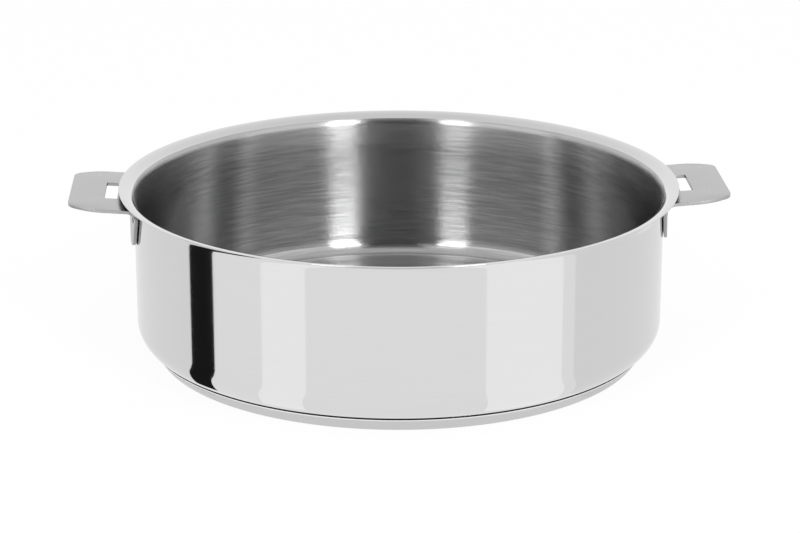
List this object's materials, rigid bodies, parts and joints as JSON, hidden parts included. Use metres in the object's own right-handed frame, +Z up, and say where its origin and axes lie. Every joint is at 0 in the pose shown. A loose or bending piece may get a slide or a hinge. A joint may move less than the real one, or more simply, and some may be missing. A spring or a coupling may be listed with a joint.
{
  "type": "saute pan",
  "caption": "Wide straight-sided stainless pan with a rolled pouring lip, a capped heat-spreading base and slotted side brackets for clip-on handles.",
  "frame": {"origin": "centre of the underside of the base, on the table", "axes": "+X through the right bracket, +Y to the rear, +Z up out of the pan"},
  "size_m": [0.3476, 0.2974, 0.0915],
  "materials": {
    "shell_steel": "polished outside, brushed in rings inside",
    "core_aluminium": "as rolled",
    "cap_steel": "satin flank, brushed underside",
    "bracket_steel": "satin",
    "weld_steel": "as welded"
  },
  "bodies": {
    "root": {"pan_shell": "shell_steel", "diffuser_disc": "core_aluminium", "base_cap": "cap_steel", "left_bracket": "bracket_steel", "right_bracket": "bracket_steel", "left_weld_front": "weld_steel", "left_weld_middle": "weld_steel", "left_weld_rear": "weld_steel", "right_weld_front": "weld_steel", "right_weld_middle": "weld_steel", "right_weld_rear": "weld_steel"}
  },
  "joints": []
}
